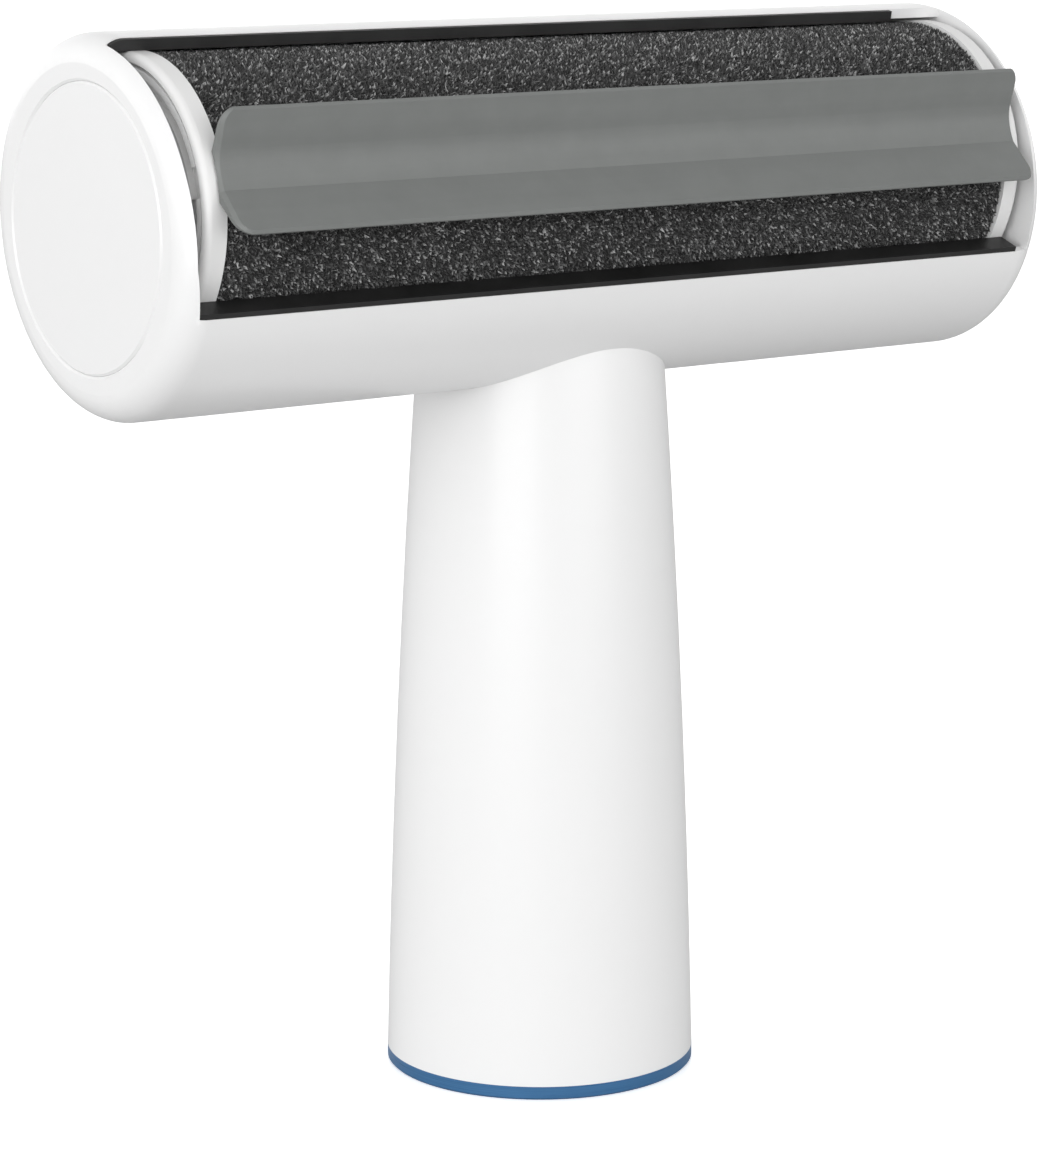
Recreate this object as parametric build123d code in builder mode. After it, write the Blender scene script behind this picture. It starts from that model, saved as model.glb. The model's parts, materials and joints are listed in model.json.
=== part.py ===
from build123d import *
from math import cos, radians, sin
import os

# A hand-held roller that lifts hair and lint from cloth.  A white barrel lies
# across the top of a round handle.  A drum inside the barrel shows through a
# long window: it carries two bristle pads and a V-shaped wiper, and rocks on
# two axle pins.  Hair that the bristles comb in is scraped off by two lips at
# the window's edges and falls into a chamber behind the drum, which empties
# through a hinged door at the back.
#
# Frame: X along the barrel, -Y towards the window, +Z up.  The origin is the
# centre of the handle's resting face.  Angles called "turn" are measured about
# an axis along X, from straight forward (-Y), rising through straight up.

# ---------------------------------------------------------------- barrel
barrel_length = 189.4
barrel_short = 32.0       # half depth of the oval section, towards the window
barrel_wide = 33.6        # half depth across that
section_turn = 48.0       # turn of the short half axis
wall = 1.8
end_wall = 3.4
end_round = 5.0
axis_height = 161.1       # barrel axis above the resting face

window_low_turn = -22.1
window_high_turn = 80.8

lip_gap = 0.35            # from the lips to the bristles
lip_cover = 1.6           # how far each lip stands over the shell's edge, degrees
lip_inset = 0.15          # the lips' outer faces stand this far inside the shell's
lip_under = 7.5           # how far each lip runs on under the shell, degrees
lip_upper_depth = 5.0     # how deep each lip reaches below the shell's wall
lip_lower_depth = 2.8
lip_upper_left = 92.6     # the lips' ends, from the middle of the barrel
lip_upper_right = 78.5
lip_lower_left = 91.2
lip_lower_right = 88.5

# The window's left end is let into the end wall, more at the top than at the foot.
window_relief = (
    (91.3, -12.5),        # distance from the middle, height above the barrel axis
    (92.3, -4.0),
    (92.7, 12.0),
    (93.0, 34.0),
)
relief_radius = 27.0      # the relief leaves the wall inside this radius alone

disc_radius = 24.7        # inset disc in each end wall
disc_gap = 0.06
disc_groove = 0.4         # bevel on each side of the seam round the disc
disc_ledge = 2.2
ledge_depth = 1.4

# ---------------------------------------------------------------- drum
drum_forward = 4.6        # drum axis from the barrel axis
drum_up = 3.7
pad_radius = 25.75
core_radius = 24.0
core_wall = 2.2
pad_half_length = 85.6
flange_radius = 26.05
flange_outer = 89.6       # outer face, from the middle of the barrel
flange_recess = 1.6
flange_rim = 1.6
flange_round = 1.2
bead_inner = 22.5         # raised ring inside each flange's rim, with one notch
bead_width = 1.2
notch_from = 8.0
notch_to = 21.0
axle_radius = 3.0
running_gap = 0.05
wiper_turn = 15.1
pad_high_end = 112.0
pad_low_end = -78.0
pad_wiper_gap = 9.0       # from the wiper's middle to each pad's edge, degrees
rock_down = 10.0
rock_up = 37.0
rib_inner = 19.0          # stop rib on each flange
rib_width = 1.8
rib_height = 1.3
lug_turn = -6.0           # stop lug on each end wall
lug_half = 3.0

# ---------------------------------------------------------------- door and button
hinge_turn = 124.0
door_low_turn = 198.0
door_half_length = 80.0
door_gap = 0.35
hinge_pin_radius = 1.0
knuckle_radius = 2.0
knuckle_middle = 40.0
door_knuckle_half = 10.0
shell_knuckle = 6.0
button_half_width = 13.0
button_low = -21.3        # from the barrel axis
button_high = -12.8
button_proud = 1.1
button_back = 20.0

# ---------------------------------------------------------------- handle
handle_top_radius = 21.6
handle_middle_radius = 26.05
handle_base_radius = 28.6
handle_wall = 2.4
ring_height = 2.5

# ---------------------------------------------------------------- derived
half_length = barrel_length / 2
inner_half = half_length - end_wall
drum_y = -drum_forward
drum_z = axis_height + drum_up
handle_rise = axis_height - 14.0
far = 70.0                # reach of the cutting shapes, beyond the barrel


def around(turn, radius):
    """Y and Z offsets of a point at a turn about an axis along X."""
    return (-radius * cos(radians(turn)), radius * sin(radians(turn)))


def wedge(turn_from, turn_to):
    """Corners, in Y and Z, of a slice of the barrel between two turns."""
    points = [(0.0, axis_height)]
    for step in range(5):
        y, z = around(turn_from + (turn_to - turn_from) * step / 4, far)
        points.append((y, axis_height + z))
    return points


def oval_radius(turn, inset=0.0):
    """Distance from the barrel axis to its oval surface at a turn."""
    a = radians(turn - section_turn)
    u, v = cos(a) / (barrel_short - inset), sin(a) / (barrel_wide - inset)
    return 1.0 / (u * u + v * v) ** 0.5


def drum_plane(turn, x):
    """Plane across the drum: local Y points out at the turn, local X onwards."""
    t = radians(turn)
    return Plane(origin=(x, drum_y, drum_z), x_dir=(0, sin(t), cos(t)), z_dir=(1, 0, 0))


def oval_bar(inset, reach):
    """A solid bar of the barrel's oval section, made smaller by the inset."""
    with BuildPart() as bar:
        with BuildSketch(Plane.YZ.offset(-reach)):
            with Locations((0, axis_height)):
                Ellipse(barrel_wide - inset, barrel_short - inset, rotation=90 - section_turn)
        extrude(amount=2 * reach)
    return bar.part


def barrel_slice(turn_from, turn_to, x_from, x_to):
    """A slice of the space in and around the barrel, between two turns."""
    with BuildPart() as piece:
        with BuildSketch(Plane.YZ.offset(x_from)):
            with BuildLine():
                Polyline(*wedge(turn_from, turn_to), close=True)
            make_face()
        extrude(amount=x_to - x_from)
    return piece.part


def bar_along_x(radius, x_one, x_other, y, z):
    """A round bar along X between two stations, given in either order."""
    with BuildPart() as bar:
        with BuildSketch(Plane.YZ.offset(min(x_one, x_other))):
            with Locations((y, z)):
                Circle(radius)
        extrude(amount=abs(x_other - x_one))
    return bar.part


def drum_sector(r_in, r_out, turn_from, turn_to, x_one, x_other):
    """A curved bar about the drum axis, between two radii, turns and stations."""
    with BuildPart() as bar:
        with BuildSketch(drum_plane(0, min(x_one, x_other))):
            with BuildLine():
                outer = CenterArc((0, 0), r_out, 90 - turn_to, turn_to - turn_from)
                inner = CenterArc((0, 0), r_in, 90 - turn_to, turn_to - turn_from)
                Line(outer @ 0, inner @ 0)
                Line(outer @ 1, inner @ 1)
            make_face()
        extrude(amount=abs(x_other - x_one))
    return bar.part


def screw(shank_radius, length, head_radius, head_height, countersunk=False):
    """A screw along -Z, its head's underside at the origin and a cross slot in it."""
    with BuildPart() as body:
        with BuildSketch(Plane.XY):
            Circle(shank_radius)
        extrude(amount=-length)
        if countersunk:
            Cone(shank_radius, head_radius, head_height, align=(Align.CENTER, Align.CENTER, Align.MAX))
            cross_top = 0.0
        else:
            Cylinder(head_radius, head_height, align=(Align.CENTER, Align.CENTER, Align.MIN))
            cross_top = head_height
        with BuildSketch(Plane.XY.offset(cross_top)):
            Rectangle(head_radius * 1.2, head_radius * 0.3)
            Rectangle(head_radius * 0.3, head_radius * 1.2)
        extrude(amount=-head_height * 0.5, mode=Mode.SUBTRACT)
    return body.part


def save(part, label):
    """Name a finished piece and write it out."""
    part.label = label
    export_step(part, f"parts/{label}.step")


os.makedirs("parts", exist_ok=True)

outer_bar = oval_bar(0.0, far * 2)
inner_bar = oval_bar(wall, far * 2)

hinge_out = oval_radius(hinge_turn) + 0.3
hinge_y, hinge_dz = around(hinge_turn, hinge_out)
hinge_z = axis_height + hinge_dz
knuckle_sides = (-knuckle_middle, knuckle_middle)
shell_knuckle_starts = []
for side in knuckle_sides:
    shell_knuckle_starts.append(side - door_knuckle_half - door_gap - shell_knuckle)
    shell_knuckle_starts.append(side + door_knuckle_half + door_gap)


# Barrel shell: oval tube with rounded ends, window, door opening, hinge
# knuckles, button sleeve, stop lugs and the bosses that the handle hangs from.
sleeve_wall = 1.5
sleeve_back = 14.5
boss_radius = 3.3
boss_spread_x = 13.0
boss_spread_y = 9.0
boss_end = axis_height - 45.7
neck_screw_radius = 1.5
neck_pilot_depth = 9.0
standing = (Align.CENTER, Align.CENTER, Align.MIN)

button_middle = axis_height + (button_low + button_high) / 2
pocket_height = button_high - button_low + 2 * door_gap
sleeve_half = button_half_width + 1.4 + sleeve_wall
sleeve_reach = 30.0

# Sleeve that guides the release button, trimmed to the inside of the shell.
with BuildPart() as sleeve:
    with Locations((0, (sleeve_back + sleeve_reach) / 2, button_middle)):
        Box(2 * sleeve_half, sleeve_reach - sleeve_back, pocket_height + 2 * sleeve_wall)
    add(inner_bar, mode=Mode.INTERSECT)

# Cutter for the window's left end.
with BuildPart() as relief:
    with BuildSketch(Plane.XZ):
        with BuildLine():
            slope = Polyline(*((-x, axis_height + up) for x, up in window_relief))
            low, high = slope @ 0, slope @ 1
            Polyline(high, (-80.0, high.Y), (-80.0, low.Y), low)
        make_face()
    extrude(amount=far)
    add(bar_along_x(relief_radius, -far * 2, far * 2, 0, axis_height), mode=Mode.SUBTRACT)
    add(barrel_slice(window_low_turn, window_high_turn, -far * 2, 0), mode=Mode.INTERSECT)

with BuildPart() as barrel_shell:
    with BuildSketch(Plane.YZ.offset(-half_length)):
        with Locations((0, axis_height)):
            Ellipse(barrel_wide, barrel_short, rotation=90 - section_turn)
    extrude(amount=barrel_length)
    fillet(barrel_shell.edges().group_by(Axis.X)[0] + barrel_shell.edges().group_by(Axis.X)[-1], end_round)
    # Handle bosses, under the barrel.
    with BuildSketch(Plane.XY.offset(boss_end)):
        with GridLocations(2 * boss_spread_x, 2 * boss_spread_y, 2, 2):
            Circle(boss_radius)
    extrude(amount=axis_height - 25.0 - boss_end)
    # Hollow.
    with BuildSketch(Plane.YZ.offset(-inner_half)):
        with Locations((0, axis_height)):
            Ellipse(barrel_wide - wall, barrel_short - wall, rotation=90 - section_turn)
    extrude(amount=2 * inner_half, mode=Mode.SUBTRACT)
    add(sleeve.part)
    with Locations((0, sleeve_back + sleeve_wall, button_middle)):
        Box(2 * (button_half_width + door_gap), far, pocket_height,
            align=(Align.CENTER, Align.MIN, Align.CENTER), mode=Mode.SUBTRACT)
        Box(2 * (button_half_width + 1.4), 22.2 - sleeve_back - sleeve_wall, pocket_height,
            align=(Align.CENTER, Align.MIN, Align.CENTER), mode=Mode.SUBTRACT)
    # Window, and the door's opening.
    add(barrel_slice(window_low_turn, window_high_turn, -inner_half, inner_half), mode=Mode.SUBTRACT)
    add(relief.part, mode=Mode.SUBTRACT)
    opening_half = door_half_length + door_gap
    add(barrel_slice(hinge_turn, door_low_turn, -opening_half, opening_half), mode=Mode.SUBTRACT)
    # Hinge knuckles, with room between them for the door's.
    for start in shell_knuckle_starts:
        add(bar_along_x(knuckle_radius, start, start + shell_knuckle, hinge_y, hinge_z))
    for side in knuckle_sides:
        reach = door_knuckle_half + door_gap
        add(bar_along_x(knuckle_radius + 0.5, side - reach, side + reach, hinge_y, hinge_z),
            mode=Mode.SUBTRACT)
        add(bar_along_x(hinge_pin_radius, side - 20, side + 20, hinge_y, hinge_z), mode=Mode.SUBTRACT)
    # Seats for the end discs: a wide mouth and a ledge behind it.
    for end in (-1, 1):
        mouth = inner_half + ledge_depth
        seam = disc_radius + disc_gap
        add(bar_along_x(seam, end * mouth, end * (half_length + 1), 0, axis_height), mode=Mode.SUBTRACT)
        add(bar_along_x(disc_radius - disc_ledge, end * (inner_half - 1), end * half_length,
                        0, axis_height), mode=Mode.SUBTRACT)
        bevel_face = Plane(origin=(end * half_length, 0, axis_height), z_dir=(end, 0, 0))
        with Locations(bevel_face):
            Cone(seam, seam + disc_groove, disc_groove, align=(Align.CENTER, Align.CENTER, Align.MAX),
                 mode=Mode.SUBTRACT)
        # Stop lug, reaching into the drum flange's recess.
        lug_tip = flange_outer - flange_recess + 0.6
        add(drum_sector(rib_inner + 0.2, rib_inner + rib_width + 0.4,
                        lug_turn - lug_half, lug_turn + lug_half, end * lug_tip, end * (inner_half + 0.5)))
    # Pilot holes for the neck screws.
    with Locations(Plane.XY.offset(boss_end)):
        with GridLocations(2 * boss_spread_x, 2 * boss_spread_y, 2, 2):
            Cylinder(neck_screw_radius, neck_pilot_depth, align=standing, mode=Mode.SUBTRACT)
save(barrel_shell.part, "barrel_shell")

# End discs, each with a blind seat for the axle bush.
bush_radius = 5.0
bush_length = 2.4
disc_skin = 1.0
for end, label in ((-1, "end_disc_left"), (1, "end_disc_right")):
    mouth = inner_half + ledge_depth
    with BuildPart() as end_disc:
        add(bar_along_x(disc_radius, end * mouth, end * half_length, 0, axis_height))
        rim = end_disc.faces().sort_by(Axis.X)[-1 if end > 0 else 0].edges()
        chamfer(rim, disc_groove)
        add(bar_along_x(disc_radius - disc_ledge - 0.1, end * inner_half, end * mouth, 0, axis_height))
        add(bar_along_x(bush_radius, end * (inner_half - 1), end * (half_length - disc_skin),
                        drum_y, drum_z), mode=Mode.SUBTRACT)
    save(end_disc.part, label)

for end, label in ((-1, "axle_bush_left"), (1, "axle_bush_right")):
    with BuildPart() as bush:
        add(bar_along_x(bush_radius, end * inner_half, end * (inner_half + bush_length), drum_y, drum_z))
        add(bar_along_x(axle_radius + running_gap, -far * 2, far * 2, drum_y, drum_z), mode=Mode.SUBTRACT)
        chamfer(bush.edges().filter_by(GeomType.CIRCLE).sort_by(SortBy.RADIUS)[-2:], 0.3)
    save(bush.part, label)

# Scraper lips along the window's long edges.  Each has a cap that fills the edge
# of the shell's wall, and a root under the wall that reaches in towards the
# bristles, a little clear of them.
with BuildPart() as lip_envelope:
    with BuildSketch(Plane.YZ.offset(-half_length)):
        with Locations((0, axis_height)):
            Ellipse(barrel_wide - lip_inset, barrel_short - lip_inset, rotation=90 - section_turn)
    extrude(amount=barrel_length)
    fillet(lip_envelope.edges().group_by(Axis.X)[0], end_round)

lips = (
    ("lip_upper", window_high_turn, 1, lip_upper_left, lip_upper_right, lip_upper_depth),
    ("lip_lower", window_low_turn, -1, lip_lower_left, lip_lower_right, lip_lower_depth),
)
for label, edge_turn, way, lip_left, lip_right, depth in lips:
    cap_turn = edge_turn - way * lip_cover
    under_turn = edge_turn + way * lip_under
    with BuildPart() as cap:
        add(barrel_slice(cap_turn, edge_turn, -lip_left, lip_right))
        add(lip_envelope.part, mode=Mode.INTERSECT)
    with BuildPart() as lip:
        add(barrel_slice(cap_turn, under_turn, -lip_left, lip_right))
        add(inner_bar, mode=Mode.INTERSECT)
        add(cap.part)
        add(bar_along_x(pad_radius + lip_gap, -far * 2, far * 2, drum_y, drum_z), mode=Mode.SUBTRACT)
        add(oval_bar(wall + depth, far * 2), mode=Mode.SUBTRACT)
        add(barrel_shell.part, mode=Mode.SUBTRACT)
    save(lip.part, label)

# ---------------------------------------------------------------- drum
# Core: hollow D-shaped trough with a hub tube, a channel for the wiper's root
# and bosses for the flange screws.
drum_middle_turn = (pad_high_end + pad_low_end) / 2
half_span = (pad_high_end - pad_low_end) / 2
chord = core_radius * cos(radians(half_span))
hub_radius = 6.0
channel_half = 5.0
channel_floor = 17.0
root_low = 19.0
root_shoulder = 21.0
root_half = 3.0
neck_half = 1.6
slot_gap = 0.1
flange_screw_spread = 15.2
flange_screw_turns = (-42.0, 52.0, 92.0)
flange_screw_radius = 1.2
screw_boss_radius = 3.2
screw_boss_length = 14.0

with BuildPart() as drum_core:
    with BuildSketch(drum_plane(drum_middle_turn, -pad_half_length)):
        Circle(core_radius)
        with Locations((0, chord)):
            Rectangle(4 * core_radius, 4 * core_radius, align=(Align.CENTER, Align.MAX), mode=Mode.SUBTRACT)
        Circle(core_radius - core_wall, mode=Mode.SUBTRACT)
        with Locations((0, chord)):
            Rectangle(2 * core_radius - 2.0, core_wall, align=(Align.CENTER, Align.MIN))
        Circle(hub_radius)
    extrude(amount=2 * pad_half_length)
    with BuildSketch(drum_plane(wiper_turn, -pad_half_length)):
        with Locations((0, channel_floor)):
            Rectangle(2 * channel_half, core_radius - channel_floor - 1.0, align=(Align.CENTER, Align.MIN))
    extrude(amount=2 * pad_half_length)
    # Screw bosses, each tied to the curved wall by a web.
    for turn in flange_screw_turns:
        for x_from in (-pad_half_length, pad_half_length - screw_boss_length):
            with BuildSketch(drum_plane(turn, x_from)):
                with Locations((0, flange_screw_spread)):
                    Circle(screw_boss_radius)
                    Rectangle(screw_boss_radius, core_radius - 1.0 - flange_screw_spread,
                              align=(Align.CENTER, Align.MIN))
            extrude(amount=screw_boss_length)
    add(bar_along_x(axle_radius, -far * 2, far * 2, drum_y, drum_z), mode=Mode.SUBTRACT)
    for turn in flange_screw_turns:
        y, dz = around(turn, flange_screw_spread)
        for x_from in (-pad_half_length - 1.0, pad_half_length - 11.0):
            add(bar_along_x(flange_screw_radius, x_from, x_from + 12.0, drum_y + y, drum_z + dz),
                mode=Mode.SUBTRACT)
    with BuildSketch(drum_plane(wiper_turn, -pad_half_length - 1.0)):
        with Locations((0, root_low - slot_gap)):
            Rectangle(2 * (root_half + slot_gap), root_shoulder - root_low + 2 * slot_gap,
                      align=(Align.CENTER, Align.MIN))
            Rectangle(2 * (neck_half + slot_gap), core_radius, align=(Align.CENTER, Align.MIN))
    extrude(amount=2 * pad_half_length + 2.0, mode=Mode.SUBTRACT)
save(drum_core.part, "drum_core")

# Bristle pads, each a simple curved solid around the core.
for label, turn_from, turn_to in (
    ("bristle_pad_upper", wiper_turn + pad_wiper_gap, pad_high_end - 1.0),
    ("bristle_pad_lower", pad_low_end + 1.0, wiper_turn - pad_wiper_gap),
):
    save(drum_sector(core_radius, pad_radius, turn_from, turn_to, -pad_half_length, pad_half_length), label)

# Wiper: one soft moulding with a T-shaped root, a foot and two flaps that
# lean out to either side in a shallow V, with rounded outer corners.
foot_half = 3.3
trough_half = 2.5
trough_out = 27.2
tip_side = 10.35
tip_out = 31.8
flap_root = 1.7
flap_tip = 1.0
flap_bend = 4.2
flap_corner = 2.8
flap_bevel = 0.6
wiper_half_length = 87.3

corner_plane = drum_plane(wiper_turn, 0)


def wiper_side(edge):
    """How far an edge's middle lies from the wiper's middle plane."""
    return abs(corner_plane.to_local_coords(edge.center()).X)


with BuildPart() as wiper:
    with BuildSketch(drum_plane(wiper_turn, -wiper_half_length)):
        with BuildLine():
            Polyline(
                (0, root_low),
                (root_half, root_low),
                (root_half, root_shoulder),
                (neck_half, root_shoulder),
                (neck_half, core_radius + 0.05),
                (foot_half, core_radius + 0.05),
                (foot_half + 0.2, trough_out - flap_root),
                (tip_side + 0.2, tip_out - flap_tip),
                (tip_side, tip_out),
            )
            mirror(about=Plane.YZ)
            # The upper flap curves into the trough; the lower one meets it at a crease.
            upper = Line((tip_side, tip_out), (flap_bend, trough_out + 0.7))
            crease = (-trough_half, trough_out)
            Bezier(upper @ 1, (trough_half, trough_out - 0.45), (0, trough_out - 0.5), crease)
            Line(crease, (-tip_side, tip_out))
        make_face()
    extrude(amount=2 * wiper_half_length)
    # Round the four outer corners of the flaps, seen from the front.
    face_plane = Plane(origin=corner_plane.origin, x_dir=(1, 0, 0), z_dir=corner_plane.y_dir)
    with BuildSketch(face_plane.offset(root_low - 1.0)):
        RectangleRounded(2 * wiper_half_length, 2 * (tip_side + 0.2), flap_corner)
    extrude(amount=tip_out, mode=Mode.INTERSECT)
    # A bevel all round the flaps' front edge.
    front = wiper.faces().filter_by(lambda face: face.normal_at().dot(corner_plane.y_dir) > 0.3)
    chamfer(front.edges().filter_by(lambda edge: wiper_side(edge) > flap_bend + 0.5), flap_bevel)
    # The flaps run on over the drum's flanges; the foot and root stop short of them.
    for end in (-1, 1):
        add(bar_along_x(flange_radius + 0.35, end * (pad_half_length - 0.2), end * far * 2, drum_y, drum_z),
            mode=Mode.SUBTRACT)
save(wiper.part, "wiper")

# Flanges: full discs with a rounded shoulder, a recessed outer face, a raised
# bead inside the rim and a stop rib nearer the middle.
rib_from = lug_turn + lug_half + rock_down + 1.0
rib_to = 360 + lug_turn - lug_half - rock_up - 1.0
recess_floor = flange_outer - flange_recess
screw_seat = recess_floor - 1.2
flange_head_room = 2.5
for end, label in ((-1, "drum_flange_left"), (1, "drum_flange_right")):
    with BuildPart() as flange:
        add(bar_along_x(flange_radius, end * (pad_half_length + 0.1), end * flange_outer, drum_y, drum_z))
        fillet(flange.faces().sort_by(Axis.X)[-1 if end > 0 else 0].edges(), flange_round)
        add(bar_along_x(flange_radius - flange_rim, end * recess_floor, end * (flange_outer + 1),
                        drum_y, drum_z), mode=Mode.SUBTRACT)
        for inner, width, turn_from, turn_to in (
            (rib_inner, rib_width, rib_from, rib_to),
            (bead_inner, bead_width, notch_to, 360 + notch_from),
        ):
            add(drum_sector(inner, inner + width, turn_from, turn_to,
                            end * (recess_floor - 0.5), end * (recess_floor + rib_height)))
        add(bar_along_x(axle_radius, -far * 2, far * 2, drum_y, drum_z), mode=Mode.SUBTRACT)
        for turn in flange_screw_turns:
            y, dz = around(turn, flange_screw_spread)
            add(bar_along_x(flange_screw_radius + 0.1, -far * 2, far * 2, drum_y + y, drum_z + dz),
                mode=Mode.SUBTRACT)
            add(bar_along_x(flange_head_room, end * screw_seat, end * (flange_outer + 1),
                            drum_y + y, drum_z + dz), mode=Mode.SUBTRACT)
    save(flange.part, label)

# Axle pins, pressed through each flange into the core's hub.
for end, label in ((-1, "axle_pin_left"), (1, "axle_pin_right")):
    tip, tail = inner_half + bush_length - 0.3, pad_half_length - 12.0
    with BuildPart() as axle:
        add(bar_along_x(axle_radius, end * tip, end * tail, drum_y, drum_z))
        chamfer(axle.edges().filter_by(GeomType.CIRCLE), 0.4)
    save(axle.part, label)

# Flange screws: three at each end, one node.
flange_screws = []
for end in (-1, 1):
    for turn in flange_screw_turns:
        y, dz = around(turn, flange_screw_spread)
        spot = Plane(origin=(end * screw_seat, drum_y + y, drum_z + dz), z_dir=(end, 0, 0))
        flange_screws.append(spot * screw(flange_screw_radius, 10.5, 2.3, 1.1))
save(Compound(children=flange_screws), "flange_screws")

# ---------------------------------------------------------------- chamber door
# Stiffening ribs for its inside, clear of the shell's opening.
with BuildPart() as ribs:
    with BuildSketch(Plane.YZ.offset(-door_half_length)):
        with Locations((0, axis_height)):
            Ellipse(barrel_wide - wall + 0.3, barrel_short - wall + 0.3, rotation=90 - section_turn)
            Ellipse(barrel_wide - wall - 1.6, barrel_short - wall - 1.6, rotation=90 - section_turn,
                    mode=Mode.SUBTRACT)
        with BuildLine():
            Polyline(*wedge(hinge_turn + 12.0, door_low_turn - 6.0), close=True)
        make_face(mode=Mode.INTERSECT)
    extrude(amount=2 * door_half_length)
    with BuildSketch(Plane.XY.offset(axis_height - far)):
        Rectangle(6 * far, 2 * far)
        with GridLocations(2 * door_half_length / 5, 1, 4, 1):
            Rectangle(1.4, 2 * far, mode=Mode.SUBTRACT)
    extrude(amount=2 * far, mode=Mode.SUBTRACT)

with BuildPart() as chamber_door:
    with BuildSketch(Plane.YZ.offset(-door_half_length)):
        with Locations((0, axis_height)):
            Ellipse(barrel_wide, barrel_short, rotation=90 - section_turn)
            Ellipse(barrel_wide - wall, barrel_short - wall, rotation=90 - section_turn, mode=Mode.SUBTRACT)
        with BuildLine():
            Polyline(*wedge(hinge_turn + 0.6, door_low_turn - 0.6), close=True)
        make_face(mode=Mode.INTERSECT)
    extrude(amount=2 * door_half_length)
    add(ribs.part)
    # Knuckles, each tied to the panel by its own width of wall.
    for side in knuckle_sides:
        add(bar_along_x(knuckle_radius, side - door_knuckle_half, side + door_knuckle_half,
                        hinge_y, hinge_z))
        add(bar_along_x(hinge_pin_radius + running_gap, side - 20, side + 20, hinge_y, hinge_z),
            mode=Mode.SUBTRACT)
    for start in shell_knuckle_starts:
        add(bar_along_x(knuckle_radius + 0.5, start - door_gap, start + shell_knuckle + door_gap,
                        hinge_y, hinge_z), mode=Mode.SUBTRACT)
save(chamber_door.part, "chamber_door")

with BuildPart() as hinge_pins:
    for side in knuckle_sides:
        reach = door_knuckle_half + door_gap + shell_knuckle
        add(bar_along_x(hinge_pin_radius, side - reach, side + reach, hinge_y, hinge_z))
save(hinge_pins.part, "hinge_pins")

# ---------------------------------------------------------------- release button
spring_radius = 2.6
spring_wire = 0.5
spring_back = sleeve_back + sleeve_wall
spring_length = 7.6

with BuildPart() as release_button:
    with Locations((0, button_back, button_middle)):
        Box(2 * button_half_width, far, button_high - button_low,
            align=(Align.CENTER, Align.MIN, Align.CENTER))
    add(oval_bar(-button_proud, far * 2), mode=Mode.INTERSECT)
    with Locations((0, button_back, button_middle)):
        Box(2 * (button_half_width + 1.1), 1.5, button_high - button_low,
            align=(Align.CENTER, Align.MIN, Align.CENTER))
    # Spring pocket, open at the back.
    with Locations(Plane(origin=(0, button_back, button_middle), z_dir=(0, 1, 0))):
        Cylinder(spring_radius + 0.7, spring_length - (button_back - spring_back) + 0.1,
                 align=(Align.CENTER, Align.CENTER, Align.MIN), mode=Mode.SUBTRACT)
save(release_button.part, "release_button")

with BuildPart() as button_spring:
    with BuildLine():
        coil = Helix(pitch=(spring_length - spring_wire * 2) / 4, height=spring_length - spring_wire * 2,
                     radius=spring_radius - spring_wire / 2, direction=(0, 1, 0),
                     center=(0, spring_back + spring_wire, button_middle))
    with BuildSketch(Plane(origin=coil @ 0, z_dir=coil % 0)):
        Circle(spring_wire / 2)
    sweep(is_frenet=True)
save(button_spring.part, "button_spring")

# ---------------------------------------------------------------- handle
ledge_low = axis_height - 46.0
ledge_high = axis_height - 44.0
post_spread = 19.0
post_radius = 3.6
post_low = 4.4
post_high = 20.0
base_screw_radius = 1.5
base_pilot_depth = 11.0

with BuildPart() as handle_shell:
    with BuildSketch(Plane.XZ):
        with BuildLine():
            side_line = ThreePointArc((handle_top_radius, handle_rise),
                                      (handle_middle_radius, handle_rise / 2),
                                      (handle_base_radius, ring_height))
            Polyline(side_line @ 1, (0, ring_height), (0, handle_rise), side_line @ 0)
        make_face()
    revolve(axis=Axis.Z)
    with BuildSketch(Plane.XZ):
        with BuildLine():
            hollow_line = ThreePointArc((handle_top_radius - handle_wall, handle_rise + 1.0),
                                        (handle_middle_radius - handle_wall, handle_rise / 2),
                                        (handle_base_radius - handle_wall, ring_height - 1.0))
            Polyline(hollow_line @ 1, (0, ring_height - 1.0), (0, handle_rise + 1.0), hollow_line @ 0)
        make_face()
    revolve(axis=Axis.Z, mode=Mode.SUBTRACT)
    # Ledge that the neck plate pulls against.
    with BuildSketch(Plane.XY.offset(ledge_low)):
        Circle(22.6)
        Circle(19.5, mode=Mode.SUBTRACT)
    extrude(amount=ledge_high - ledge_low)
    # Posts for the base screws, each tied to the wall.
    with BuildSketch(Plane.XY.offset(post_low)):
        with PolarLocations(0, 3):
            with Locations((post_spread, 0)):
                Circle(post_radius)
                Rectangle(handle_base_radius - handle_wall - post_spread + 0.8, 2.4,
                          align=(Align.MIN, Align.CENTER))
    extrude(amount=post_high - post_low)
    with Locations(Plane.XY.offset(post_low)):
        with PolarLocations(post_spread, 3):
            Cylinder(base_screw_radius, base_pilot_depth, align=standing, mode=Mode.SUBTRACT)
    add(outer_bar, mode=Mode.SUBTRACT)
save(handle_shell.part, "handle_shell")

with BuildPart() as neck_plate:
    with BuildSketch(Plane.XY.offset(ledge_low - 3.5)):
        Circle(21.2)
        with GridLocations(2 * boss_spread_x, 2 * boss_spread_y, 2, 2):
            Circle(neck_screw_radius + 0.15, mode=Mode.SUBTRACT)
        Circle(4.0, mode=Mode.SUBTRACT)
    extrude(amount=3.5)
    chamfer(neck_plate.faces().sort_by(Axis.Z)[0].outer_wire().edges(), 0.6)
save(neck_plate.part, "neck_plate")

neck_screws = []
for x in (-boss_spread_x, boss_spread_x):
    for y in (-boss_spread_y, boss_spread_y):
        spot = Plane(origin=(x, y, ledge_low - 3.5), z_dir=(0, 0, -1))
        neck_screws.append(spot * screw(neck_screw_radius, 11.5, 2.8, 1.8))
save(Compound(children=neck_screws), "neck_screws")

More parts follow.
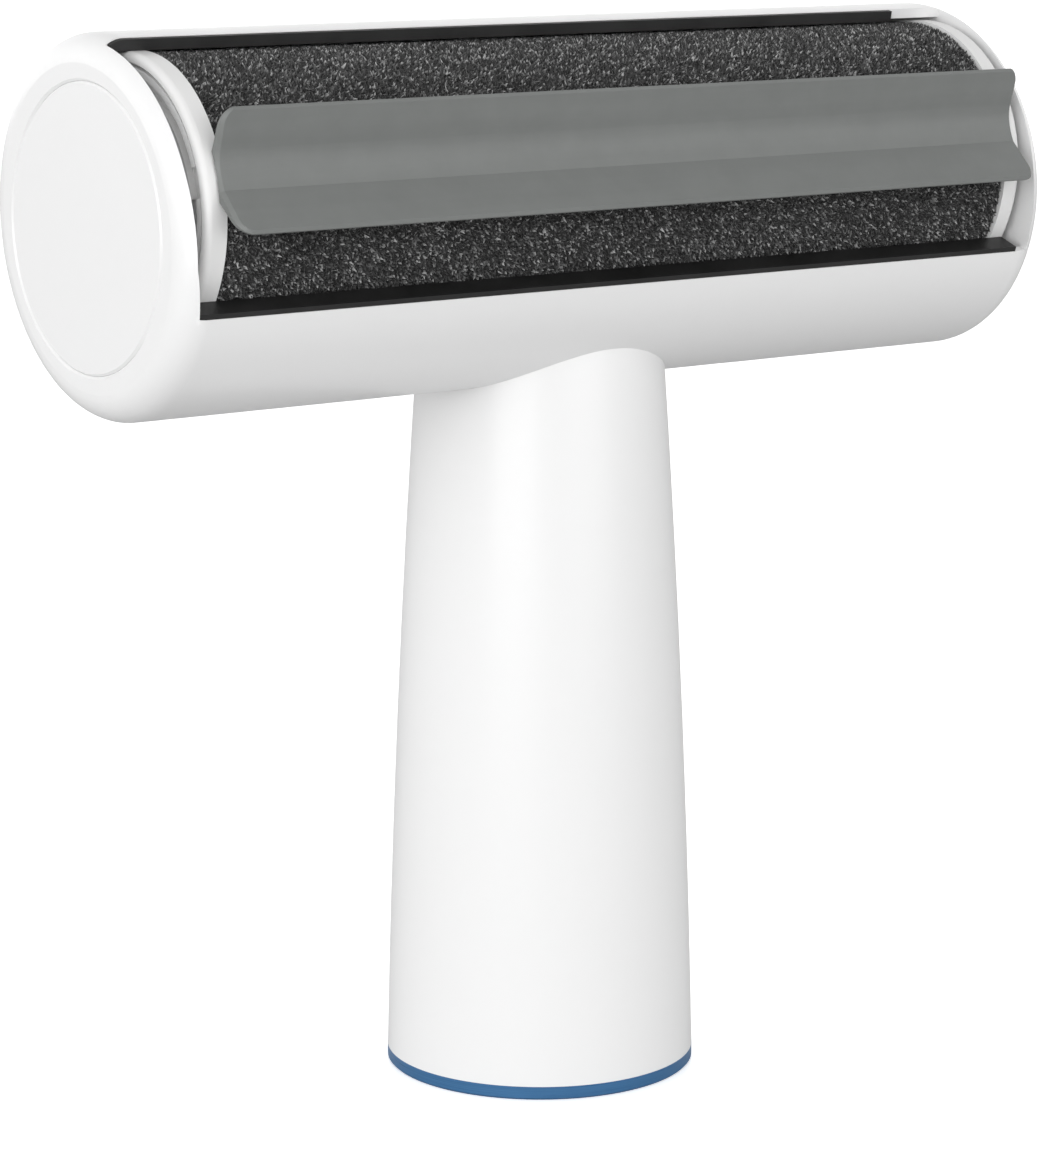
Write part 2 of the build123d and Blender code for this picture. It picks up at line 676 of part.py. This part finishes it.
# Blue base ring, clamped between the handle and the base plate.
ring_ledge = 1.5
ring_mouth = 24.9
ring_step = 23.4
spigot_radius = handle_base_radius - handle_wall - 0.15
with BuildPart() as base_ring:
    with BuildSketch(Plane.XY):
        Circle(handle_base_radius)
    extrude(amount=ring_height)
    chamfer(base_ring.faces().sort_by(Axis.Z)[0].edges(), 0.35)
    with BuildSketch(Plane.XY.offset(ring_height)):
        Circle(spigot_radius)
    extrude(amount=1.8)
    with BuildSketch(Plane.XY.offset(-1.0)):
        Circle(ring_step)
    extrude(amount=ring_height + 4.0, mode=Mode.SUBTRACT)
    with BuildSketch(Plane.XY.offset(-1.0)):
        Circle(ring_mouth)
    extrude(amount=1.0 + ring_ledge, mode=Mode.SUBTRACT)
save(base_ring.part, "base_ring")

with BuildPart() as base_plate:
    with BuildSketch(Plane.XY.offset(0.3)):
        Circle(ring_mouth - 0.2)
    extrude(amount=ring_ledge - 0.3)
    with BuildSketch(Plane.XY.offset(ring_ledge)):
        Circle(ring_step - 0.2)
    extrude(amount=post_low - ring_ledge)
    with BuildSketch(Plane.XY):
        Circle(22.8)
    extrude(amount=1.0, mode=Mode.SUBTRACT)
    with Locations(Plane(origin=(0, 0, 1.0), x_dir=(1, 0, 0), z_dir=(0, 0, -1))):
        with PolarLocations(post_spread, 3):
            CounterSinkHole(base_screw_radius + 0.15, 3.1, depth=10)
save(base_plate.part, "base_plate")

base_screws = []
for index in range(3):
    a = radians(120 * index)
    spot = Plane(origin=(post_spread * cos(a), post_spread * sin(a), 1.0), z_dir=(0, 0, -1))
    base_screws.append(spot * screw(base_screw_radius, 13.0, 2.9, 1.4, countersunk=True))
save(Compound(children=base_screws), "base_screws")

with BuildPart() as base_pad:
    with BuildSketch(Plane.XY):
        Circle(22.6)
    extrude(amount=1.0)
    chamfer(base_pad.faces().sort_by(Axis.Z)[0].edges(), 0.3)
save(base_pad.part, "base_pad")
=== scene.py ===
import json
import math
import bpy
import numpy as np
from mathutils import Matrix, Vector

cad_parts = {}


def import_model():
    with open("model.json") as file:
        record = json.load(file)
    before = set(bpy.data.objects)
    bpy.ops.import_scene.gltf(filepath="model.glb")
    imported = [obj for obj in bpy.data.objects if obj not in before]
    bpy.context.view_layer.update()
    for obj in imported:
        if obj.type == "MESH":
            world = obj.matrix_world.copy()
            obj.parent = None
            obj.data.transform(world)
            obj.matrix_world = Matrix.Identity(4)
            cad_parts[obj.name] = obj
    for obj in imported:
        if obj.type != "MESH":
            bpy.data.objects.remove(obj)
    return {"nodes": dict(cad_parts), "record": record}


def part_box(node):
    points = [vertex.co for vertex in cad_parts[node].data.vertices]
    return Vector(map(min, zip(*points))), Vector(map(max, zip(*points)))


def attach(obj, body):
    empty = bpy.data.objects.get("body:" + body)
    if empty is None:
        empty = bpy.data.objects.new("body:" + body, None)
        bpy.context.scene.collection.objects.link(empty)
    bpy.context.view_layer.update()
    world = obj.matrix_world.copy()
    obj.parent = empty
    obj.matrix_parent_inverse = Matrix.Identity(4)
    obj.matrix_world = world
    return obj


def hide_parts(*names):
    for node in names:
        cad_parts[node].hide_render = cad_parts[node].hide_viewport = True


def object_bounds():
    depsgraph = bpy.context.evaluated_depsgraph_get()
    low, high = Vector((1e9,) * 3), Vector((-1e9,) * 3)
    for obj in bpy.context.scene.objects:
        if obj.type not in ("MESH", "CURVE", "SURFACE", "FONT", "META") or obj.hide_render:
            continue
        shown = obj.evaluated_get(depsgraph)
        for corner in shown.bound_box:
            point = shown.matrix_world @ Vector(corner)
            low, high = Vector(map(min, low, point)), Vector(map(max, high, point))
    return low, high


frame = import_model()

cad_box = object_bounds()
mm = 0.001

# ---------------------------------------------------------------- places read from the frame
joints = {j["name"]: j for j in frame["record"]["behaviour"]["joints"]}
drum_axis = Vector(joints["drum_rock"]["pos_m"])
disc_low, disc_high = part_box("end_disc_left")
barrel_axis_z = (disc_low[2] + disc_high[2]) / 2
core_radius = drum_axis.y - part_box("drum_core")[0][1]
pad_radius = drum_axis.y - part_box("bristle_pad_lower")[0][1]
pad_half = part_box("bristle_pad_upper")[1][0]

# ---------------------------------------------------------------- sizes of the bristle pads
WIPER_TURN = 15.1         # degrees about the drum axis, from straight forward, rising
PAD_WIPER_GAP = 9.0       # degrees, from the wiper's middle to each pad's edge
PAD_HIGH_END = 111.0      # degrees, as WIPER_TURN
PAD_LOW_END = -77.0       # degrees, as WIPER_TURN
CLOTH_LIFT = 0.05 * mm    # between the core and the cloth
CLOTH_THICKNESS = 1.1 * mm
TUFT_PITCH = 0.44 * mm
TUFT_HALF = 0.32 * mm     # half the width of a tuft's foot
TUFT_PROUD = 0.05 * mm    # how far the longest tips pass the pad's nominal radius
TUFT_ROOT = 0.03 * mm     # how deep a tuft's foot sinks into the cloth
TUFT_SHORTEST = 0.62      # of the longest
TUFT_WIDTHS = (0.8, 1.25)  # of TUFT_HALF
TUFT_LEAN = 0.12          # of its height, away from the wiper
TUFT_SCATTER = 0.45       # of its height, either way
TUFT_END_GAP = 0.2 * mm   # bare cloth at the ends of the strip
TUFT_SIDE_GAP = 0.3 * mm  # and along its sides
TONE_POWER = 1.7          # over 1, so that most tips are dark
FOOT_PAINTED_SHADE = 0.8           # painted shade: a tuft's foot against its tip, darker down among the roots
cloth_in = core_radius + CLOTH_LIFT
cloth_out = cloth_in + CLOTH_THICKNESS

# ---------------------------------------------------------------- light
FLOOR_GLOW = 0.5          # the floor as the camera sees it
FLOOR_BOUNCE = 0.58       # the floor's whiteness as it lights the object
# Strength of the sky along each axis: direction from, direction to, strength from, strength to.
SKY = {
    "Z": (0.0, 1.0, 1.72, 0.22),
    "X": (-1.0, 1.0, 1.16, 0.84),
    "Y": (-1.0, 1.0, 1.02, 1.0),
}
LIGHT_AIM = (0.0, 0.0, 0.11)
# Place in metres, side in metres and power in watts of each square light.
LIGHTS = {
    "key": ((-1.0, -0.62, 0.22), 0.8, 4.5),
    "front": ((0.15, -1.15, 0.15), 0.7, 1.6),
}

# ---------------------------------------------------------------- camera
CAMERA_YAW = 0.631083     # radians, turned to the right from straight ahead
CAMERA_PITCH = 0.185832   # radians, looking down
CAMERA_DISTANCE = 0.72968  # metres, back from the target
CAMERA_RIGHT = -3.199 * mm
CAMERA_DOWN = 7.849 * mm
TARGET_DROP = 60 * mm     # from the barrel's axis down to the target
LENS = 123.85
SENSOR = 36.0
SHIFT = (-0.00227, -0.00803)

RANGE_INPUTS = ("From Min", "From Max", "To Min", "To Max")


# ---------------------------------------------------------------- node helpers
class Nodes:
    """A material's node tree, with short calls for the nodes it needs."""

    def __init__(self, name):
        self.material = bpy.data.materials.new(name)
        self.material.use_nodes = True
        self.tree = self.material.node_tree
        self.shader = self.tree.nodes["Principled BSDF"]
        self.coords = self.add("ShaderNodeTexCoord").outputs["Object"]

    def add(self, kind, **values):
        node = self.tree.nodes.new(kind)
        for key, value in values.items():
            if hasattr(node, key):
                setattr(node, key, value)
            else:
                node.inputs[key.replace("_", " ")].default_value = value
        return node

    def join(self, out, into):
        self.tree.links.new(out, into)

    def scaled(self, stretch):
        """The object's coordinates, stretched along each axis."""
        mapping = self.add("ShaderNodeMapping")
        mapping.inputs["Scale"].default_value = stretch
        self.join(self.coords, mapping.inputs["Vector"])
        return mapping.outputs["Vector"]

    def noise(self, scale, detail=3.0, rough=0.55, coords=None):
        node = self.add("ShaderNodeTexNoise", Scale=scale, Detail=detail, Roughness=rough)
        self.join(coords or self.coords, node.inputs["Vector"])
        return node.outputs["Fac"]

    def ramp(self, fac, stops):
        node = self.add("ShaderNodeValToRGB")
        ramp = node.color_ramp
        while len(ramp.elements) < len(stops):
            ramp.elements.new(0.5)
        for element, (place, colour) in zip(ramp.elements, stops):
            element.position = place
            element.color = (*colour, 1.0)
        self.join(fac, node.inputs["Fac"])
        return node.outputs["Color"]

    def spread(self, fac, low, high, from_low=0.3, from_high=0.7):
        """A value moved from one range to another, for roughness."""
        node = self.add("ShaderNodeMapRange")
        for key, value in zip(RANGE_INPUTS, (from_low, from_high, low, high)):
            node.inputs[key].default_value = value
        self.join(fac, node.inputs["Value"])
        return node.outputs["Result"]

    def multiply(self, colour, shade):
        node = self.add("ShaderNodeMix", data_type="RGBA", blend_type="MULTIPLY")
        node.inputs[0].default_value = 1.0
        self.join(colour, node.inputs[6])
        self.join(shade, node.inputs[7])
        return node.outputs[2]

    def bump(self, height, strength, distance):
        node = self.add("ShaderNodeBump", Strength=strength, Distance=distance)
        self.join(height, node.inputs["Height"])
        self.join(node.outputs["Normal"], self.shader.inputs["Normal"])

    def set(self, **values):
        for key, value in values.items():
            self.shader.inputs[key.replace("_", " ")].default_value = value

    def colour(self, out):
        self.join(out, self.shader.inputs["Base Color"])

    def rough(self, out):
        self.join(out, self.shader.inputs["Roughness"])


def grey(value):
    return (value, value, value)


# ---------------------------------------------------------------- materials
def moulded(name, tone, tint, rough_low, rough_high, grain, coat=0.0):
    """Injection-moulded plastic: a fine spark-eroded skin, faintly uneven in tone and gloss."""
    m = Nodes(name)
    flow = m.noise(320.0, 3.0, 0.6)
    low = tuple(tone * 0.996 * t for t in tint)
    high = tuple(tone * t for t in tint)
    m.colour(m.ramp(flow, ((0.3, low), (0.7, high))))
    m.rough(m.spread(m.noise(90.0, 3.0, 0.5), rough_low, rough_high))
    m.bump(m.noise(2600.0, 2.0, 0.5), grain, 0.01 * mm)
    m.set(IOR=1.5, Coat_Weight=coat, Coat_Roughness=0.12)
    return m.material


def lip_rubber():
    """Matt black moulded rubber with a faint bloom."""
    m = Nodes("lip_rubber")
    bloom = m.noise(90.0, 5.0, 0.6)
    m.colour(m.ramp(bloom, ((0.3, grey(0.006)), (0.75, grey(0.016)))))
    m.rough(m.spread(bloom, 0.42, 0.6))
    m.bump(m.noise(3000.0, 2.0, 0.5), 0.25, 0.03 * mm)
    return m.material


def wiper_rubber():
    """Soft grey moulding: drawn faintly along its length, with a satin skin."""
    m = Nodes("wiper_rubber")
    drawn = m.noise(1.0, 4.0, 0.6, m.scaled((14.0, 320.0, 320.0)))
    dust = m.noise(160.0, 4.0, 0.6)
    base = m.ramp(drawn, ((0.25, (0.184, 0.192, 0.187)), (0.75, (0.204, 0.213, 0.207))))
    m.colour(m.multiply(base, m.ramp(dust, ((0.3, grey(0.93)), (0.7, grey(1.0))))))
    m.rough(m.spread(drawn, 0.42, 0.58))
    m.bump(m.noise(2200.0, 3.0, 0.6), 0.2, 0.03 * mm)
    m.set(IOR=1.48)
    return m.material


def ring_blue():
    """Blue anodised ring, with fine lines turned round it."""
    m = Nodes("ring_blue")
    turned = m.noise(1.0, 3.0, 0.6, m.scaled((40.0, 40.0, 5200.0)))
    m.colour(m.ramp(turned, ((0.3, (0.050, 0.165, 0.355)), (0.7, (0.072, 0.215, 0.430)))))
    m.rough(m.spread(turned, 0.26, 0.42))
    m.bump(turned, 0.12, 0.02 * mm)
    m.set(Metallic=0.55)
    return m.material


def metal(name, tone, rough_low, rough_high):
    """Plated steel with a fine brushed grain."""
    m = Nodes(name)
    grain = m.noise(1.0, 4.0, 0.6, m.scaled((900.0, 2600.0, 2600.0)))
    m.colour(m.ramp(grain, ((0.3, grey(tone * 0.88)), (0.7, grey(tone)))))
    m.rough(m.spread(grain, rough_low, rough_high))
    m.bump(grain, 0.1, 0.01 * mm)
    m.set(Metallic=1.0)
    return m.material


def foot_rubber():
    """Dark grey foot pad with a pebbled face."""
    m = Nodes("foot_rubber")
    pebble = m.add("ShaderNodeTexVoronoi", Scale=1100.0)
    m.join(m.coords, pebble.inputs["Vector"])
    m.colour(m.ramp(m.noise(140.0, 4.0), ((0.3, grey(0.030)), (0.7, grey(0.048)))))
    m.rough(m.spread(pebble.outputs["Distance"], 0.6, 0.8, 0.0, 0.6))
    m.bump(pebble.outputs["Distance"], 0.5, 0.06 * mm)
    return m.material


def backing_cloth():
    """The dark knit that the bristles stand in."""
    m = Nodes("backing_cloth")
    weave = m.noise(2400.0, 2.0, 0.6)
    m.colour(m.ramp(weave, ((0.35, grey(0.006)), (0.7, grey(0.024)))))
    m.bump(weave, 0.6, 0.1 * mm)
    m.set(Roughness=0.9, Sheen_Weight=0.2, Sheen_Roughness=0.5)
    return m.material


def bristle():
    """Nylon bristles: most near black, some painted light grey as specks that catch the light, a
    painted highlight.
    """
    m = Nodes("bristle")
    tone = m.add("ShaderNodeAttribute", attribute_name="tone").outputs["Fac"]
    shades = ((0.0, grey(0.005)), (0.35, grey(0.02)), (0.7, grey(0.15)), (1.0, grey(0.65)))
    m.colour(m.ramp(tone, shades))
    m.rough(m.spread(tone, 0.5, 0.75, 0.0, 1.0))
    m.set(Sheen_Weight=0.45, Sheen_Roughness=0.45)
    return m.material


white = moulded("white_shell", 0.86, (1.0, 1.0, 1.0), 0.28, 0.32, 0.03, coat=0.15)
drum_white = moulded("drum_white", 0.82, (1.0, 1.0, 0.995), 0.30, 0.36, 0.04)
inner_plastic = moulded("inner_plastic", 0.34, (1.0, 1.01, 1.02), 0.45, 0.62, 0.2)
bush_plastic = moulded("bush_plastic", 0.70, (1.0, 0.96, 0.86), 0.4, 0.55, 0.12)
lips = lip_rubber()
wiper_skin = wiper_rubber()
blue = ring_blue()
steel = metal("steel", 0.60, 0.22, 0.40)
foot = foot_rubber()
cloth = backing_cloth()
hairs = bristle()

NODE_MATERIALS = {
    white: ("barrel_shell", "end_disc_left", "end_disc_right", "handle_shell", "chamber_door"),
    drum_white: ("drum_flange_left", "drum_flange_right", "release_button"),
    inner_plastic: ("drum_core", "neck_plate", "base_plate"),
    bush_plastic: ("axle_bush_left", "axle_bush_right"),
    lips: ("lip_upper", "lip_lower"),
    wiper_skin: ("wiper",),
    blue: ("base_ring",),
    steel: ("hinge_pins", "button_spring", "neck_screws", "base_screws", "flange_screws",
            "axle_pin_left", "axle_pin_right"),
    foot: ("base_pad",),
}
for material, names in NODE_MATERIALS.items():
    for name in names:
        node = frame["nodes"][name]
        if not node.material_slots:
            node.data.materials.append(material)
        for slot in node.material_slots:
            slot.material = material


# ---------------------------------------------------------------- bristle pads
def drum_points(turn, radius, x):
    """Points about the drum axis; turn in radians from straight forward, rising."""
    y = drum_axis.y - radius * np.cos(turn)
    z = drum_axis.z + radius * np.sin(turn)
    return np.stack(np.broadcast_arrays(x, y, z), axis=-1)


def mesh_object(name, points, faces, material):
    mesh = bpy.data.meshes.new(name)
    mesh.from_pydata(points.tolist(), [], faces.tolist())
    mesh.materials.append(material)
    mesh.validate()
    obj = bpy.data.objects.new(name, mesh)
    bpy.context.scene.collection.objects.link(obj)
    return obj


def cloth_strip(name, turn_from, turn_to):
    """The pad's backing: a closed strip of cloth wrapped round the core."""
    across, along = 48, 120
    turns = np.radians(np.linspace(turn_from, turn_to, across + 1))
    xs = np.linspace(-pad_half, pad_half, along + 1)
    grid_turn, grid_x = np.meshgrid(turns, xs, indexing="ij")
    layers = [drum_points(grid_turn, r, grid_x).reshape(-1, 3) for r in (cloth_in, cloth_out)]
    row = along + 1
    count = (across + 1) * row
    faces = []
    for a in range(across):
        for b in range(along):
            low = a * row + b
            quad = (low, low + 1, low + row + 1, low + row)
            faces.append(quad[::-1])
            faces.append(tuple(count + q for q in quad))

    def wall(starts, step, flip):
        """One edge of the strip: quads that join the inner layer to the outer one."""
        for low in starts:
            quad = (low, low + step, count + low + step, count + low)
            faces.append(quad[::-1] if flip else quad)

    wall(range(0, across * row, row), row, False)
    wall(range(along, across * row + along, row), row, True)
    wall(range(along), 1, True)
    wall(range(across * row, across * row + along), 1, False)
    return mesh_object(name, np.concatenate(layers), np.array(faces), cloth)


def tufts(name, turn_from, turn_to, lean, seed):
    """Short bristle tips over the cloth, each a three-sided spike with its own tone, painted darker
    at its foot as shade.
    """
    rng = np.random.default_rng(seed)
    rows = int((turn_to - turn_from) * math.radians(1) * cloth_out / TUFT_PITCH)
    columns = int(2 * pad_half / TUFT_PITCH)
    turn = (np.arange(rows) + 0.5) / rows * np.radians(turn_to - turn_from) + np.radians(turn_from)
    x = -pad_half + (np.arange(columns) + 0.5) / columns * 2 * pad_half
    turn, x = (g.ravel() for g in np.meshgrid(turn, x, indexing="ij"))
    n = turn.size
    pitch_turn = TUFT_PITCH / cloth_out
    turn = turn + rng.uniform(-0.5, 0.5, n) * pitch_turn
    foot_end = pad_half - TUFT_END_GAP
    x = np.clip(x + rng.uniform(-0.5, 0.5, n) * TUFT_PITCH, -foot_end, foot_end)
    height = rng.uniform(TUFT_SHORTEST, 1.0, n) * (pad_radius + TUFT_PROUD - cloth_out)
    tip_turn = turn + (lean + rng.normal(0, TUFT_SCATTER, n)) * height / cloth_out
    side_gap = TUFT_SIDE_GAP / cloth_out
    tip_turn = np.clip(tip_turn, np.radians(turn_from) + side_gap, np.radians(turn_to) - side_gap)
    tip_x = np.clip(x + rng.normal(0, TUFT_SCATTER, n) * height, -pad_half, pad_half)
    width = rng.uniform(*TUFT_WIDTHS, n) * TUFT_HALF
    spin = rng.uniform(0, 2 * math.pi, n)
    corners = []
    for k in range(3):
        angle = spin + k * 2 * math.pi / 3
        foot_turn = turn + width * np.sin(angle) / cloth_out
        foot_x = x + width * np.cos(angle)
        corners.append(drum_points(foot_turn, cloth_out - TUFT_ROOT, foot_x))
    corners.append(drum_points(tip_turn, cloth_out + height, tip_x))
    points = np.stack(corners, axis=1).reshape(-1, 3)
    base = 4 * np.arange(n)[:, None]
    faces = np.concatenate([base + np.array([k, (k + 1) % 3, 3]) for k in range(3)])
    obj = mesh_object(name, points, faces, hairs)
    # Most tips are dark, and a few are painted light grey as tips that catch the light (painted
    # highlight), so the pad looks speckled.
    tone = rng.uniform(0, 1, n) ** TONE_POWER
    # Each tuft's three foot corners get a share of its tip's tone: painted shade at the roots.
    per_point = np.stack([tone * FOOT_PAINTED_SHADE, tone * FOOT_PAINTED_SHADE, tone * FOOT_PAINTED_SHADE, tone], axis=1).ravel()
    attribute = obj.data.attributes.new("tone", "FLOAT", "POINT")
    attribute.data.foreach_set("value", per_point.astype(np.float32))
    return obj


def bristle_pad(side, turn_from, turn_to, lean, seed):
    """A strip of cloth and its tips, which stand for one CAD pad and ride on the drum."""
    strip = cloth_strip(f"bristle_cloth_{side}", turn_from, turn_to)
    nap = tufts(f"bristles_{side}", turn_from, turn_to, lean, seed)
    for piece in (strip, nap):
        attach(piece, "drum")
    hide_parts(f"bristle_pad_{side}")


bristle_pad("upper", WIPER_TURN + PAD_WIPER_GAP, PAD_HIGH_END, TUFT_LEAN, 11)
bristle_pad("lower", PAD_LOW_END, WIPER_TURN - PAD_WIPER_GAP, -TUFT_LEAN, 12)


# ---------------------------------------------------------------- floor, light and camera
def studio():
    """A pale floor out to the horizon. It looks white, and lights the object from below as grey."""
    floor_mesh = bpy.data.meshes.new("studio_floor")
    reach, z = 60.0, cad_box[0][2]
    corners = [(-reach, -reach, z), (reach, -reach, z), (reach, reach, z), (-reach, reach, z)]
    floor_mesh.from_pydata(corners, [], [(0, 1, 2, 3)])
    floor = bpy.data.objects.new("studio_floor", floor_mesh)
    bpy.context.scene.collection.objects.link(floor)
    m = Nodes("studio_floor")
    m.colour(m.ramp(m.noise(3.0), ((0.3, grey(0.90)), (0.7, grey(0.92)))))
    m.set(Roughness=0.3, Emission_Color=(1, 1, 1, 1), Emission_Strength=FLOOR_GLOW)
    bounce = m.add("ShaderNodeBsdfDiffuse", Color=(*grey(FLOOR_BOUNCE), 1.0))
    seen = m.add("ShaderNodeLightPath").outputs["Is Camera Ray"]
    mix = m.add("ShaderNodeMixShader")
    m.join(seen, mix.inputs[0])
    m.join(bounce.outputs[0], mix.inputs[1])
    m.join(m.shader.outputs[0], mix.inputs[2])
    m.join(mix.outputs[0], m.tree.nodes["Material Output"].inputs["Surface"])
    floor_mesh.materials.append(m.material)


def area_light(name, place, side, power):
    data = bpy.data.lights.new(name, "AREA")
    data.shape = "SQUARE"
    data.size = side
    data.energy = power
    light = bpy.data.objects.new(name, data)
    light.location = place
    light.rotation_euler = (Vector(LIGHT_AIM) - Vector(place)).to_track_quat("-Z", "Y").to_euler()
    bpy.context.scene.collection.objects.link(light)


def world():
    """A very soft studio: brightest round the horizon, dimmer overhead and to the right."""
    w = bpy.data.worlds.new("studio_world")
    w.use_nodes = True
    tree = w.node_tree
    way = tree.nodes.new("ShaderNodeSeparateXYZ")
    tree.links.new(tree.nodes.new("ShaderNodeTexCoord").outputs["Generated"], way.inputs[0])
    shades = []
    for axis, values in SKY.items():
        node = tree.nodes.new("ShaderNodeMapRange")
        for key, value in zip(RANGE_INPUTS, values):
            node.inputs[key].default_value = value
        tree.links.new(way.outputs[axis], node.inputs["Value"])
        shades.append(node.outputs["Result"])
    product = shades[0]
    for shade in shades[1:]:
        times = tree.nodes.new("ShaderNodeMath")
        times.operation = "MULTIPLY"
        tree.links.new(product, times.inputs[0])
        tree.links.new(shade, times.inputs[1])
        product = times.outputs[0]
    tree.links.new(product, tree.nodes["Background"].inputs["Strength"])
    tree.nodes["Background"].inputs["Color"].default_value = (1, 1, 1, 1)
    bpy.context.scene.world = w


def camera():
    """The camera stands to the front left and a little above, about 0.73 m away."""
    level = Vector((math.sin(CAMERA_YAW), math.cos(CAMERA_YAW), 0.0))
    forward = level * math.cos(CAMERA_PITCH) - Vector((0.0, 0.0, math.sin(CAMERA_PITCH)))
    right = Vector((math.cos(CAMERA_YAW), -math.sin(CAMERA_YAW), 0.0))
    down = forward.cross(right)
    target = Vector((0.0, 0.0, barrel_axis_z - TARGET_DROP))
    place = target - forward * CAMERA_DISTANCE + right * CAMERA_RIGHT + down * CAMERA_DOWN
    data = bpy.data.cameras.new("camera")
    data.lens = LENS
    data.sensor_width = SENSOR
    data.shift_x, data.shift_y = SHIFT
    cam = bpy.data.objects.new("camera", data)
    turned = Matrix((right, -down, -forward)).transposed().to_4x4()
    cam.matrix_world = Matrix.Translation(place) @ turned
    bpy.context.scene.collection.objects.link(cam)
    bpy.context.scene.camera = cam


bpy.context.scene.view_settings.view_transform = "Standard"
studio()
world()
for name, (place, side, power) in LIGHTS.items():
    area_light(name, place, side, power)
camera()
